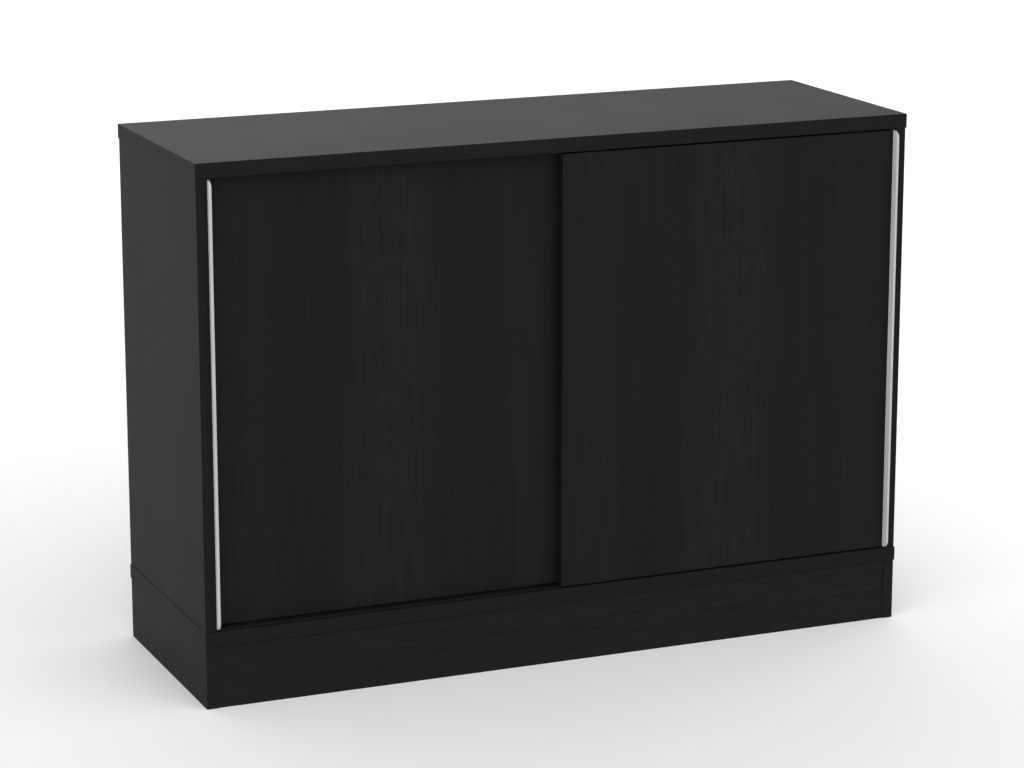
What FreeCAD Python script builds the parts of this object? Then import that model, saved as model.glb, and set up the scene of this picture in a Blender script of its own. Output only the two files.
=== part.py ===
"""Low cabinet with two bypassing sliding doors on a plinth: a parametric FreeCAD model, in millimetres.

Frame: X to the right, Y to the back, Z up.  The origin is on the floor, in the middle of the footprint.
The two doors run in separate tracks: the front door covers the right half, the rear door the left half.
"""
import FreeCAD, Part
import math
import os
import re

import Sketcher
from FreeCAD import Placement, Rotation, Vector

DIMENSIONS = {
    # overall size
    "cabinet_width": 1200, "cabinet_depth": 400, "cabinet_height": 850, "plinth_height": 100,
    # boards: top and bottom panels, the other carcass boards, back, door leaves and edge bands
    "panel_thick": 23, "board_thick": 18, "back_thick": 8, "leaf_thick": 16, "band_thick": 1,
    "band_arris": 0.5,
    # how far the other boards stand back from the edges of the top and bottom panels
    "side_inset": 1, "front_inset": 2, "plinth_side_inset": 1, "plinth_front_inset": 3.5,
    # back panel, partition and shelves
    "back_setback": 8, "back_tongue": 5, "groove_play": 0.2, "interior_front": 150,
    "shelf_play": 1, "shelf_inset": 4,
    # doors: gaps above and below, gap at the closing side, overlap in the middle, track spacing
    "door_gap": 3, "edge_gap": 0.5, "door_overlap": 10, "track_spacing": 24,
    # tracks inlaid in the panels, and the plane of rollers and guides behind each leaf's front
    "track_width": 10, "track_wall": 1.8, "track_overrun": 10, "track_plane": 9,
    "lower_track_deep": 8, "lower_channel_deep": 5.3, "upper_track_deep": 12, "upper_channel_deep": 10,
    # rollers
    "roller_radius": 14, "roller_width": 5, "roller_clearance": 0.3, "axle_radius": 2,
    "axle_play": 0.05, "axle_length": 11, "fitting_offset": 60,
    # moulded fittings let into the back of each leaf
    "pocket_deep": 12.5, "pocket_play": 0.1, "flange_thick": 2, "flange_ear": 12,
    "roller_case_width": 60, "roller_case_height": 34, "case_corner": 6,
    "guide_case_width": 44, "guide_case_height": 40,
    # sliding top guides
    "guide_width": 20, "guide_thick": 5.6, "guide_height": 34, "guide_play": 0.3,
    "guide_engage": 7, "guide_travel": 12, "thumb_width": 10, "thumb_height": 6, "thumb_proud": 2,
    # door stops in the upper tracks
    "stop_length": 18, "stop_height": 8, "stop_gap": 0.5, "door_travel": 570,
    # handles: a flat bar on edge along each outer door edge
    "bar_thick": 3.5, "bar_corner": 12, "bar_arris": 0.4,
    "front_bar_proud": 14, "rear_bar_proud": 33, "bar_screw_pitch": 278,
    # fasteners
    "bolt_spread": 130, "screw_spread": 150, "cam_radius": 7.5, "cam_deep": 14, "cam_setback": 34,
    "bolt_bore": 8, "bolt_thread": 6, "bolt_bite": 11, "dowel_radius": 4, "dowel_length": 34,
    "dowel_bite": 12, "carcass_screw_radius": 3.5, "carcass_screw_head": 5, "carcass_screw_sink": 4,
    "wood_screw_radius": 1.75, "wood_screw_head": 3.5, "wood_screw_sink": 1.4,
    "handle_screw_length": 25, "fitting_screw_length": 14,
    # rows of shelf-pin holes
    "row_pitch": 32, "row_first": 320, "row_count": 3, "pin_hole_radius": 2.5, "pin_hole_deep": 10,
    "pin_column_front": 113, "pin_column_pitch": 260, "pin_level": 352,
    # plinth
    "block_leg": 40, "block_height": 90,
}

# Lengths that follow from the driving dimensions, written as expressions in their names.
INNER_HEIGHT = "(cabinet_height - plinth_height - 2 * panel_thick)"
FLOOR_LEVEL = "(plinth_height + panel_thick)"
CEILING_LEVEL = "(cabinet_height - panel_thick)"
FRONT_PLANE = "(cabinet_depth / 2 - front_inset)"
SIDE_FACE = "(cabinet_width / 2 - side_inset - board_thick)"
SIDE_MIDDLE = f"({SIDE_FACE} + board_thick / 2)"
BACK_FACE = f"({FRONT_PLANE} - back_setback - back_thick + 2)"
BAY_WIDTH = f"({SIDE_FACE} - board_thick / 2)"
LEAF_EDGE = f"({SIDE_FACE} - edge_gap - bar_thick)"
LEAF_WIDTH = f"({LEAF_EDGE} + door_overlap / 2)"
LEAF_HEIGHT = f"({INNER_HEIGHT} - 2 * door_gap)"
LEAF_MIDDLE = f"({LEAF_EDGE} / 2 - door_overlap / 4)"
FITTING_X = f"({LEAF_WIDTH} / 2 - fitting_offset)"
TRACK_Y = f"(track_plane - {FRONT_PLANE})"
FITTING_Y = "(track_plane - leaf_thick)"
CHANNEL_WIDTH = "(track_width - 2 * track_wall)"
ROLLER_Z = "(roller_radius + roller_clearance - lower_channel_deep - door_gap)"
GUIDE_TOP = f"({LEAF_HEIGHT} + door_gap + guide_engage)"

doc = FreeCAD.newDocument("sliding_door_cabinet")
sheet = doc.addObject("Spreadsheet::Sheet", "dims")
for row, (alias, value) in enumerate(DIMENSIONS.items(), 1):
    sheet.set(f"A{row}", alias)
    sheet.set(f"B{row}", str(value))
    sheet.setAlias(f"B{row}", alias)
doc.recompute()

NODES = []


# ---------------------------------------------------------------- helpers

def bound(expression):
    """The expression with each dimension's name pointing at its cell in the sheet."""
    return re.sub(
        r"[a-z_]{4,}",
        lambda word: "dims." + word[0] if word[0] in DIMENSIONS else word[0],
        str(expression),
    )


def value(expression):
    """The expression's present value."""
    return float(sheet.evalExpression(bound(expression)))


def new_body(label):
    """An empty body for one sub-part; its label is the sub-part's name."""
    body = doc.addObject("PartDesign::Body", label)
    body.Label = label
    NODES.append(body)
    return body


def place(obj, x="0", y="0", z="0", turn=None):
    """Put the object at x, y, z, turned first by turn."""
    obj.Placement = Placement(Vector(), turn or Rotation())
    for axis, expression in zip("xyz", (x, y, z)):
        obj.setExpression(f"Placement.Base.{axis}", bound(expression))


def origin_part(body, role):
    """One of the body's own origin planes or axes."""
    return next(f for f in body.Origin.OriginFeatures if f.Role == role)


def new_sketch(body, name, plane, lift="0"):
    """A sketch on one of the body's origin planes, moved along the plane's normal by lift."""
    sketch = body.newObject("Sketcher::SketchObject", f"{body.Name}_{name}")
    sketch.AttachmentSupport = [(origin_part(body, plane), "")]
    sketch.MapMode = "FlatFace"
    sketch.setExpression("AttachmentOffset.Base.z", bound(lift))
    return sketch


def constrain(sketch, kind, *geometry_and_size):
    """Add a dimension to the sketch and bind it to its expression."""
    *geometry, expression = geometry_and_size
    index = sketch.addConstraint(Sketcher.Constraint(kind, *geometry, value(expression)))
    sketch.setExpression(f"Constraints[{index}]", bound(expression))


def polygon(sketch, points):
    """A closed outline through the points, each held by its distances from the sketch's origin."""
    at = [Vector(value(x), value(y), 0) for x, y in points]
    first = sketch.GeometryCount
    count = len(points)
    for i in range(count):
        sketch.addGeometry(Part.LineSegment(at[i], at[(i + 1) % count]))
    for i, (x, y) in enumerate(points):
        sketch.addConstraint(
            Sketcher.Constraint("Coincident", first + i, 2, first + (i + 1) % count, 1)
        )
        constrain(sketch, "DistanceX", -1, 1, first + i, 1, x)
        constrain(sketch, "DistanceY", -1, 1, first + i, 1, y)


def rectangle(sketch, width, height, x="0", y="0"):
    """A rectangle of the given size, centred on x, y."""
    left, right = f"({x}) - ({width}) / 2", f"({x}) + ({width}) / 2"
    low, high = f"({y}) - ({height}) / 2", f"({y}) + ({height}) / 2"
    polygon(sketch, [(left, low), (right, low), (right, high), (left, high)])


def circle(sketch, radius, x="0", y="0"):
    """A circle of the given radius, centred on x, y."""
    index = sketch.addGeometry(
        Part.Circle(Vector(value(x), value(y), 0), Vector(0, 0, 1), value(radius))
    )
    constrain(sketch, "Radius", index, radius)
    constrain(sketch, "DistanceX", -1, 1, index, 3, x)
    constrain(sketch, "DistanceY", -1, 1, index, 3, y)


def many_sided(sketch, radius, x="0", y="0", sides=8):
    """A regular polygon in place of a circle, for small fasteners and holes that are repeated."""
    turns = [2 * math.pi * (i + 0.5) / sides for i in range(sides)]
    polygon(sketch, [
        (f"({x}) + ({radius}) * {math.cos(turn):.5f}", f"({y}) + ({radius}) * {math.sin(turn):.5f}")
        for turn in turns
    ])


def long_slot(sketch, length, width, y):
    """A slot along X with round ends, centred on 0, y."""
    half, radius, across = value(length) / 2, value(width) / 2, value(y)
    straight = half - radius
    first = sketch.addGeometry([
        Part.LineSegment(Vector(-straight, across - radius, 0), Vector(straight, across - radius, 0)),
        Part.Arc(
            Vector(straight, across - radius, 0), Vector(half, across, 0),
            Vector(straight, across + radius, 0),
        ),
        Part.LineSegment(Vector(straight, across + radius, 0), Vector(-straight, across + radius, 0)),
        Part.Arc(
            Vector(-straight, across + radius, 0), Vector(-half, across, 0),
            Vector(-straight, across - radius, 0),
        ),
    ])[0]
    lower, right, upper, left = range(first, first + 4)
    for line, line_end, arc, arc_end in (
        (lower, 2, right, 1), (upper, 1, right, 2), (upper, 2, left, 1), (lower, 1, left, 2),
    ):
        sketch.addConstraint(Sketcher.Constraint("Tangent", line, line_end, arc, arc_end))
    sketch.addConstraint(Sketcher.Constraint("Horizontal", lower))
    constrain(sketch, "Radius", right, f"({width}) / 2")
    constrain(sketch, "DistanceY", -1, 1, right, 3, y)
    constrain(sketch, "DistanceX", -1, 1, right, 3, f"(({length}) - ({width})) / 2")
    constrain(sketch, "DistanceX", left, 3, -1, 1, f"(({length}) - ({width})) / 2")


def pad(body, sketch, length, flip=False, both=False):
    """Raise the sketch by length along its normal, against it, or half each way."""
    feature = body.newObject("PartDesign::Pad", sketch.Name + "_pad")
    feature.Profile = sketch
    feature.setExpression("Length", bound(length))
    feature.Reversed = flip
    if both:
        feature.SideType = "Symmetric"
    doc.recompute()
    return feature


def pocket(body, sketch, depth, flip=False, both=False):
    """Cut the sketch into the body; a cut that removes nothing is an error."""
    before = body.Shape.Volume
    feature = body.newObject("PartDesign::Pocket", sketch.Name + "_cut")
    feature.Profile = sketch
    feature.setExpression("Length", bound(depth))
    feature.Reversed = flip
    if both:
        feature.SideType = "Symmetric"
    doc.recompute()
    if body.Shape.Volume > before - 1e-3:
        raise RuntimeError(f"{feature.Name} cuts nothing")
    return feature


def turned(body, name, outline, plane="XZ_Plane"):
    """A solid turned about the body's Z axis from an outline of radius and height pairs."""
    sketch = new_sketch(body, name, plane)
    polygon(sketch, outline)
    feature = body.newObject("PartDesign::Revolution", f"{body.Name}_{name}_turned")
    feature.Profile = sketch
    feature.ReferenceAxis = (sketch, ["V_Axis"])
    feature.Angle = 360
    doc.recompute()
    return feature


def mirror(plane):
    """A step of repeat(): the mirror image about one of the body's origin planes."""
    def step(body, number):
        feature = doc.addObject("PartDesign::Mirrored", f"{body.Name}_mirror_{number}")
        feature.MirrorPlane = (origin_part(body, plane), [""])
        return feature
    return step


def row_of(axis, length, count):
    """A step of repeat(): count copies spread evenly over length along one of the body's axes."""
    def step(body, number):
        feature = doc.addObject("PartDesign::LinearPattern", f"{body.Name}_row_{number}")
        feature.Direction = (origin_part(body, axis), [""])
        feature.setExpression("Length", bound(length))
        feature.setExpression("Occurrences", bound(count))
        return feature
    return step


def repeat(body, originals, *steps):
    """Repeat the features by each step in turn."""
    before = body.Shape.Volume
    feature = body.newObject("PartDesign::MultiTransform", f"{body.Name}_{originals[0].Name}_all")
    feature.Originals = originals
    feature.Transformations = [step(body, number) for number, step in enumerate(steps, 1)]
    body.Tip = feature
    doc.recompute()
    if abs(body.Shape.Volume - before) < 1e-3:
        raise RuntimeError(f"{feature.Name} repeats nothing")


def dress(body, kind, size, wanted):
    """Fillet or Chamfer, by size, every edge that wanted() picks."""
    base = body.Tip
    names = [f"Edge{i}" for i, edge in enumerate(base.Shape.Edges, 1) if wanted(edge)]
    feature = body.newObject(f"PartDesign::{kind}", f"{body.Name}_{kind.lower()}_{len(body.Group)}")
    feature.Base = (base, names)
    feature.setExpression("Radius" if kind == "Fillet" else "Size", bound(size))
    doc.recompute()
    if not names or feature.Shape.isNull():
        raise RuntimeError(f"{feature.Name} found no edges")


def along(edge, axis):
    """Is the edge straight and parallel to the axis?"""
    if edge.Curve.TypeId != "Part::GeomLine":
        return False
    return abs(edge.tangentAt(edge.FirstParameter).dot(axis)) > 0.999


def near(number, target):
    """Are the two lengths the same to within a hundredth?"""
    return abs(number - target) < 0.01


def wood_screw(body, name, plane, lift, length, x, y, flip=False):
    """A flat-headed screw, its head flush at lift and its tip towards the plane's normal."""
    toward = -1 if flip else 1
    head = new_sketch(body, name + "_head", plane, lift)
    many_sided(head, "wood_screw_head", x, y)
    shank = new_sketch(body, name + "_shank", plane, f"({lift}) + {toward} * wood_screw_sink")
    many_sided(shank, "wood_screw_radius", x, y)
    return [
        pad(body, head, "wood_screw_sink", flip),
        pad(body, shank, f"({length}) - wood_screw_sink", flip),
    ]


def wood_screw_hole(body, name, plane, lift, depth, x, y, flip=False):
    """The hole and head seat of such a screw, a little wider all round."""
    cuts = []
    for part, radius, deep in (
        ("seat", "wood_screw_head", "wood_screw_sink"), ("hole", "wood_screw_radius", depth),
    ):
        sketch = new_sketch(body, f"{name}_{part}", plane, lift)
        many_sided(sketch, f"{radius} + 0.1", x, y)
        cuts.append(pocket(body, sketch, deep, not flip))
    return cuts


# ---------------------------------------------------------------- carcass

def board(label, plane, width, height, thick, x="0", y="0", flip=False, both=False):
    """A plain rectangular board, its outline on one of its own origin planes."""
    body = new_body(label)
    sketch = new_sketch(body, "outline", plane)
    rectangle(sketch, width, height, x, y)
    pad(body, sketch, thick, flip, both)
    return body


def edge_band(label, level, wide, deep, thick):
    """A band all round a panel, with its outer arrises slightly eased."""
    body = new_body(label)
    sketch = new_sketch(body, "outline", "XY_Plane")
    rectangle(sketch, wide, deep)
    rectangle(sketch, f"({wide}) - 2 * band_thick", f"({deep}) - 2 * band_thick")
    pad(body, sketch, thick)
    half_wide, half_deep = value(wide) / 2, value(deep) / 2
    dress(body, "Chamfer", "band_arris", lambda edge: (
        (along(edge, Vector(1, 0, 0)) and near(abs(edge.CenterOfMass.y), half_deep))
        or (along(edge, Vector(0, 1, 0)) and near(abs(edge.CenterOfMass.x), half_wide))
    ))
    place(body, z=level)


def panel(label, level):
    """The core of the top or bottom panel: full size less the edge band."""
    body = board(
        label, "XY_Plane", "cabinet_width - 2 * band_thick", "cabinet_depth - 2 * band_thick",
        "panel_thick",
    )
    place(body, z=level)
    edge_band(label + "_edge_band", level, "cabinet_width", "cabinet_depth", "panel_thick")
    return body


def track_grooves(body, lift, depth, flip):
    """Two grooves along X for the inlaid tracks; they run on under the side panels."""
    sketch = new_sketch(body, "grooves", "XY_Plane", lift)
    for spacing in ("0", "track_spacing"):
        long_slot(sketch, f"2 * ({SIDE_FACE} + track_overrun)", "track_width", f"{TRACK_Y} + {spacing}")
    pocket(body, sketch, depth, flip)


def top_panel():
    body = panel("top_panel", CEILING_LEVEL)
    track_grooves(body, "0", "upper_track_deep", flip=True)
    bolts = new_sketch(body, "bolt_hole", "XY_Plane")
    many_sided(bolts, "bolt_thread / 2 + 0.2", SIDE_MIDDLE, "bolt_spread")
    repeat(body, [pocket(body, bolts, "bolt_bite", flip=True)], mirror("YZ_Plane"), mirror("XZ_Plane"))
    dowels = new_sketch(body, "dowel_hole", "XY_Plane")
    for y in ("-bolt_spread / 2", "bolt_spread"):
        many_sided(dowels, "dowel_radius", "0", y)
    pocket(body, dowels, "dowel_bite", flip=True)


def bottom_panel():
    """The screws that hold the sides and the partition come up through it from the plinth."""
    body = panel("bottom_panel", "plinth_height")
    track_grooves(body, "panel_thick", "lower_track_deep", flip=False)
    for name, radius, depth in (
        ("shank_hole", "carcass_screw_radius + 0.2", "panel_thick"),
        ("head_hole", "carcass_screw_head + 0.2", "carcass_screw_sink"),
    ):
        sides = new_sketch(body, "side_" + name, "XY_Plane")
        many_sided(sides, radius, SIDE_MIDDLE, "screw_spread")
        corner = pocket(body, sides, depth, flip=True)
        repeat(body, [corner], mirror("YZ_Plane"), mirror("XZ_Plane"))
        middle = new_sketch(body, "middle_" + name, "XY_Plane")
        for y in ("-bolt_spread / 2", "bolt_spread"):
            many_sided(middle, radius, "0", y)
        pocket(body, middle, depth, flip=True)


def pin_holes(body, depth, lift="0", flip=False):
    """Rows of shelf-pin holes, 32 apart, in a front and a back column."""
    sketch = new_sketch(body, "pin_hole", "YZ_Plane", lift)
    many_sided(sketch, "pin_hole_radius", "-pin_column_front", "row_first")
    first = pocket(body, sketch, depth, flip)
    repeat(
        body, [first],
        row_of("Z_Axis", "row_pitch * (row_count - 1)", "row_count"),
        row_of("Y_Axis", "pin_column_pitch", "2"),
    )


def side_panel(label, hand):
    """hand is -1 on the left and 1 on the right; the body's origin is on the inner face."""
    outward = hand > 0
    body = board(
        label, "YZ_Plane", "cabinet_depth - 2 * front_inset - band_thick", INNER_HEIGHT, "board_thick",
        "band_thick / 2", f"{INNER_HEIGHT} / 2", flip=not outward,
    )
    pin_holes(body, "pin_hole_deep", flip=outward)
    cams = new_sketch(body, "cam_hole", "YZ_Plane")
    for y in ("-bolt_spread", "bolt_spread"):
        many_sided(cams, "cam_radius + 0.2", y, f"{INNER_HEIGHT} - cam_setback", 16)
    pocket(body, cams, "cam_deep + 0.5", flip=outward)
    bolts = new_sketch(body, "bolt_bore", "XY_Plane", INNER_HEIGHT)
    for y in ("-bolt_spread", "bolt_spread"):
        many_sided(bolts, "bolt_bore / 2", f"{hand} * board_thick / 2", y)
    pocket(body, bolts, "cam_setback")
    groove = new_sketch(body, "back_groove", "YZ_Plane")
    rectangle(
        groove, "back_thick + groove_play", INNER_HEIGHT,
        f"{BACK_FACE} + back_thick / 2", f"{INNER_HEIGHT} / 2",
    )
    pocket(body, groove, "back_tongue + 0.5", flip=outward)
    place(body, x=f"{hand} * {SIDE_FACE}", z=FLOOR_LEVEL)


def front_strips(label, thick, height, level, front, places):
    """Upright or level strips banding the front edges of boards that stand in a row."""
    body = new_body(label)
    sketch = new_sketch(body, "outline", "XZ_Plane")
    for x in places:
        rectangle(sketch, thick, height, x, f"({height}) / 2")
    pad(body, sketch, "band_thick", flip=True)
    place(body, y=f"-({front})", z=level)


def partition():
    """Upright board in the middle, behind the path of the rear door."""
    front, back = "band_thick - interior_front", BACK_FACE
    body = board(
        "centre_partition", "YZ_Plane", f"{back} - ({front})", INNER_HEIGHT, "board_thick",
        f"({back} + {front}) / 2", f"{INNER_HEIGHT} / 2", both=True,
    )
    pin_holes(body, "board_thick", lift="board_thick / 2")
    dowels = new_sketch(body, "dowel_hole", "XY_Plane", INNER_HEIGHT)
    for y in ("-bolt_spread / 2", "bolt_spread"):
        many_sided(dowels, "dowel_radius", "0", y)
    pocket(body, dowels, "dowel_length - dowel_bite + 1")
    place(body, z=FLOOR_LEVEL)


def back_panel():
    """Thin board held in the grooves of the two side panels."""
    body = board(
        "back_panel", "XZ_Plane", f"2 * ({SIDE_FACE} + back_tongue)", INNER_HEIGHT, "back_thick",
        "0", f"{INNER_HEIGHT} / 2", flip=True,
    )
    place(body, y=BACK_FACE, z=FLOOR_LEVEL)


SHELF_WIDTH = f"({BAY_WIDTH} - 2 * shelf_play)"
SHELF_LEVEL = f"({FLOOR_LEVEL} + pin_level + pin_hole_radius)"
SHELF_FRONT = "(interior_front - shelf_inset)"


def shelf(label, hand):
    depth = f"({BACK_FACE} + {SHELF_FRONT} - band_thick - shelf_play)"
    body = board(label, "XY_Plane", SHELF_WIDTH, depth, "board_thick", "0", f"{depth} / 2")
    place(
        body, f"{hand} * (board_thick / 2 + {BAY_WIDTH} / 2)", f"band_thick - {SHELF_FRONT}",
        SHELF_LEVEL,
    )


def shelf_pins():
    """Pressed angle brackets: a peg in the hole and a ledge under the shelf."""
    body = new_body("shelf_pins")
    ledge, sheet_thick, drop, breadth = "9", "1.6", "9", "12"
    pieces = []
    for name, wall, away in (("outer", SIDE_FACE, -1), ("inner", "board_thick / 2", 1)):
        angle = new_sketch(body, name + "_angle", "XZ_Plane")
        polygon(angle, [
            (wall, f"-{drop}"),
            (f"{wall} + {away} * {sheet_thick}", f"-{drop}"),
            (f"{wall} + {away} * {sheet_thick}", f"pin_hole_radius - {sheet_thick}"),
            (f"{wall} + {away} * {ledge}", f"pin_hole_radius - {sheet_thick}"),
            (f"{wall} + {away} * {ledge}", "pin_hole_radius"),
            (wall, "pin_hole_radius"),
        ])
        pieces.append(pad(body, angle, breadth, both=True))
        peg = new_sketch(body, name + "_peg", "YZ_Plane", wall)
        many_sided(peg, "pin_hole_radius - 0.1")
        pieces.append(pad(body, peg, "8", flip=away > 0))
    repeat(body, pieces, row_of("Y_Axis", "pin_column_pitch", "2"), mirror("YZ_Plane"))
    place(body, y="-pin_column_front", z=f"{FLOOR_LEVEL} + pin_level")


def plinth():
    """Four boards on edge, a brace across the middle and a glued block in each corner."""
    side_outer = "(cabinet_width / 2 - plinth_side_inset)"
    side_inner = f"({side_outer} - board_thick)"
    front = "(cabinet_depth / 2 - plinth_front_inset)"
    for label, hand in (("plinth_left", -1), ("plinth_right", 1)):
        body = board(
            label, "YZ_Plane", "cabinet_depth - 2 * front_inset", "plinth_height", "board_thick",
            "0", "plinth_height / 2", flip=hand < 0,
        )
        place(body, x=f"{hand} * {side_inner}")
    for label, hand in (("plinth_front", -1), ("plinth_back", 1)):
        body = board(
            label, "XZ_Plane", f"2 * {side_inner}", "plinth_height", "board_thick",
            "0", "plinth_height / 2", flip=hand < 0,
        )
        place(body, y=f"{hand} * {front}")
    brace_reach = f"({front} - board_thick)"
    board(
        "plinth_brace", "YZ_Plane", f"2 * {brace_reach}", "plinth_height", "board_thick",
        "0", "plinth_height / 2", both=True,
    )
    blocks = new_body("plinth_blocks")
    corner = new_sketch(blocks, "outline", "XY_Plane")
    polygon(corner, [
        (side_inner, brace_reach),
        (f"{side_inner} - block_leg", brace_reach),
        (side_inner, f"{brace_reach} - block_leg"),
    ])
    repeat(blocks, [pad(blocks, corner, "block_height")], mirror("YZ_Plane"), mirror("XZ_Plane"))
    place(blocks, z="plinth_height - block_height")


# ---------------------------------------------------------------- tracks and stops

def track(label, depth, channel, y, z, turn=None):
    """A black U-section inlaid flush in its groove; the mouth of the channel is chamfered."""
    body = new_body(label)
    sketch = new_sketch(body, "section", "YZ_Plane")
    half, inner, ease = "track_width / 2", f"{CHANNEL_WIDTH} / 2", "0.4"
    polygon(sketch, [
        (f"-{half}", f"-{depth}"), (half, f"-{depth}"), (half, "0"),
        (f"{inner} + {ease}", "0"), (inner, f"-{ease}"), (inner, f"-{channel}"),
        (f"-{inner}", f"-{channel}"), (f"-{inner}", f"-{ease}"), (f"-{inner} - {ease}", "0"),
        (f"-{half}", "0"),
    ])
    pad(body, sketch, f"2 * {SIDE_FACE}", both=True)
    place(body, "0", y, z, turn)


def tracks():
    over = Rotation(Vector(1, 0, 0), 180)
    for line, spacing in (("front", "0"), ("rear", "track_spacing")):
        y = f"{TRACK_Y} + {spacing}"
        track(f"lower_{line}_track", "lower_track_deep", "lower_channel_deep", y, FLOOR_LEVEL)
        track(f"upper_{line}_track", "upper_track_deep", "upper_channel_deep", y, CEILING_LEVEL, over)


def door_stops():
    """Rubber blocks pressed into the upper tracks, one at each end of each door's travel."""
    body = new_body("door_stops")
    sketch = new_sketch(body, "outline", "XY_Plane")
    reach = "(guide_width / 2 + stop_gap + stop_length / 2)"
    home = f"({LEAF_MIDDLE} + {FITTING_X} + {reach})"
    away = f"({FITTING_X} - {LEAF_MIDDLE} + door_travel + {reach})"
    for hand, y in ((1, TRACK_Y), (-1, f"{TRACK_Y} + track_spacing")):
        rectangle(sketch, "stop_length", CHANNEL_WIDTH, f"{hand} * {home}", y)
        rectangle(sketch, "stop_length", CHANNEL_WIDTH, f"-{hand} * {away}", y)
    pad(body, sketch, "stop_height")
    place(body, z=f"{CEILING_LEVEL} + 1")


# ---------------------------------------------------------------- carcass fasteners

def cam_locks():
    """Eccentric housings in the side panels, each with a screwdriver slot and a hole for its bolt."""
    body = new_body("cam_locks")
    disc = new_sketch(body, "disc", "YZ_Plane", SIDE_FACE)
    many_sided(disc, "cam_radius", "bolt_spread", "0", 16)
    features = [pad(body, disc, "cam_deep")]
    slot = new_sketch(body, "slot", "YZ_Plane", SIDE_FACE)
    rectangle(slot, "9", "1.6", "bolt_spread", "0")
    features.append(pocket(body, slot, "2.5", flip=True))
    bore = new_sketch(body, "bore", "XY_Plane", "-3.5")
    many_sided(bore, "bolt_bore / 2 - 0.3", SIDE_MIDDLE, "bolt_spread")
    features.append(pocket(body, bore, "cam_radius + 4", flip=True))
    repeat(body, features, mirror("YZ_Plane"), mirror("XZ_Plane"))
    place(body, z=f"{CEILING_LEVEL} - cam_setback")


def cam_bolts():
    """Bolts screwed up into the top panel; the head sits in the cam lock."""
    body = new_body("cam_bolts")
    steps = (
        ("head", "3.2", "-2.5", "1"), ("neck", "2", "1", "9"), ("shank", "3.4", "9", "cam_setback"),
        ("thread", "bolt_thread / 2", "cam_setback", "cam_setback + bolt_bite - 0.5"),
    )
    features = stepped(body, steps, SIDE_MIDDLE, "bolt_spread")
    repeat(body, features, mirror("YZ_Plane"), mirror("XZ_Plane"))
    place(body, z=f"{CEILING_LEVEL} - cam_setback")


def stepped(body, steps, x, y):
    """An upright shaft at x, y of many-sided steps, each a name, a radius and the levels it joins."""
    features = []
    for name, radius, low, high in steps:
        sketch = new_sketch(body, name, "XY_Plane", low)
        many_sided(sketch, radius, x, y)
        features.append(pad(body, sketch, f"({high}) - ({low})"))
    return features


def dowels():
    body = new_body("partition_dowels")
    sketch = new_sketch(body, "section", "XY_Plane")
    for y in ("-bolt_spread / 2", "bolt_spread"):
        many_sided(sketch, "dowel_radius", "0", y)
    pad(body, sketch, "dowel_length")
    place(body, z=f"{CEILING_LEVEL} + dowel_bite - dowel_length")


def carcass_screws():
    """Screws with a stepped shank, heads down in the bottom panel, tips in the boards above it."""
    body = new_body("carcass_screws")
    for name, x, y, copies in (
        ("side", SIDE_MIDDLE, "screw_spread", (mirror("YZ_Plane"), mirror("XZ_Plane"))),
        ("middle", "0", "-bolt_spread / 2", (row_of("Y_Axis", "bolt_spread * 3 / 2", "2"),)),
    ):
        steps = (
            (name + "_head", "carcass_screw_head", "0.4", "carcass_screw_sink"),
            (name + "_shank", "carcass_screw_radius", "carcass_screw_sink", "panel_thick"),
            (name + "_thread", "2.5", "panel_thick", "50"),
        )
        repeat(body, stepped(body, steps, x, y), *copies)
    place(body, z="plinth_height")


# ---------------------------------------------------------------- doors
# Each door's pieces share one frame: its origin is at the middle of the leaf's bottom edge, on the
# leaf's back face, so the leaf runs from y = -leaf_thick to 0.  hand is the side of the handle.

class Door:
    def __init__(self, name, hand, back, proud):
        self.name = name
        self.hand = hand
        self.at = (f"{hand} * {LEAF_MIDDLE}", back, f"{FLOOR_LEVEL} + door_gap")
        self.proud = proud

    def piece(self, label):
        """A body in the door's frame."""
        body = new_body(f"{self.name}_{label}")
        place(body, *self.at)
        return body


DOORS = (
    Door("front_door", 1, f"leaf_thick - {FRONT_PLANE}", "front_bar_proud"),
    Door("rear_door", -1, f"leaf_thick + track_spacing - {FRONT_PLANE}", "rear_bar_proud"),
)
FITTINGS = (("left", -1), ("right", 1))


def fitting_pockets(body):
    """Pockets in the back of the leaf for the roller cases and, at the top, the guide cases."""
    for name, width, height, middle in (
        ("roller_pocket", "roller_case_width", "roller_case_height", "roller_case_height / 2"),
        ("guide_pocket", "guide_case_width", "guide_case_height",
         f"{LEAF_HEIGHT} - guide_case_height / 2"),
    ):
        sketch = new_sketch(body, name, "XZ_Plane")
        for _, side in FITTINGS:
            rectangle(sketch, width, height, f"{side} * {FITTING_X}", middle)
        pocket(body, sketch, "pocket_deep", flip=True)


def leaf(door):
    body = door.piece("panel")
    outline = new_sketch(body, "outline", "XZ_Plane")
    rectangle(
        outline, f"{LEAF_WIDTH} - 2 * band_thick", f"{LEAF_HEIGHT} - 2 * band_thick",
        "0", f"{LEAF_HEIGHT} / 2",
    )
    pad(body, outline, "leaf_thick")
    fitting_pockets(body)
    rows = {
        value("roller_case_height"), value(f"{LEAF_HEIGHT} - guide_case_height"),
    }
    dress(body, "Fillet", "case_corner", lambda edge: (
        along(edge, Vector(0, 1, 0)) and any(near(edge.CenterOfMass.z, row) for row in rows)
    ))


def leaf_band(door):
    """The band round the leaf, cut where the fittings come out at the bottom and the top."""
    body = door.piece("edge_band")
    outline = new_sketch(body, "outline", "XZ_Plane")
    for inset in ("0", "2 * band_thick"):
        rectangle(outline, f"{LEAF_WIDTH} - {inset}", f"{LEAF_HEIGHT} - {inset}", "0", f"{LEAF_HEIGHT} / 2")
    pad(body, outline, "leaf_thick")
    fitting_pockets(body)


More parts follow.
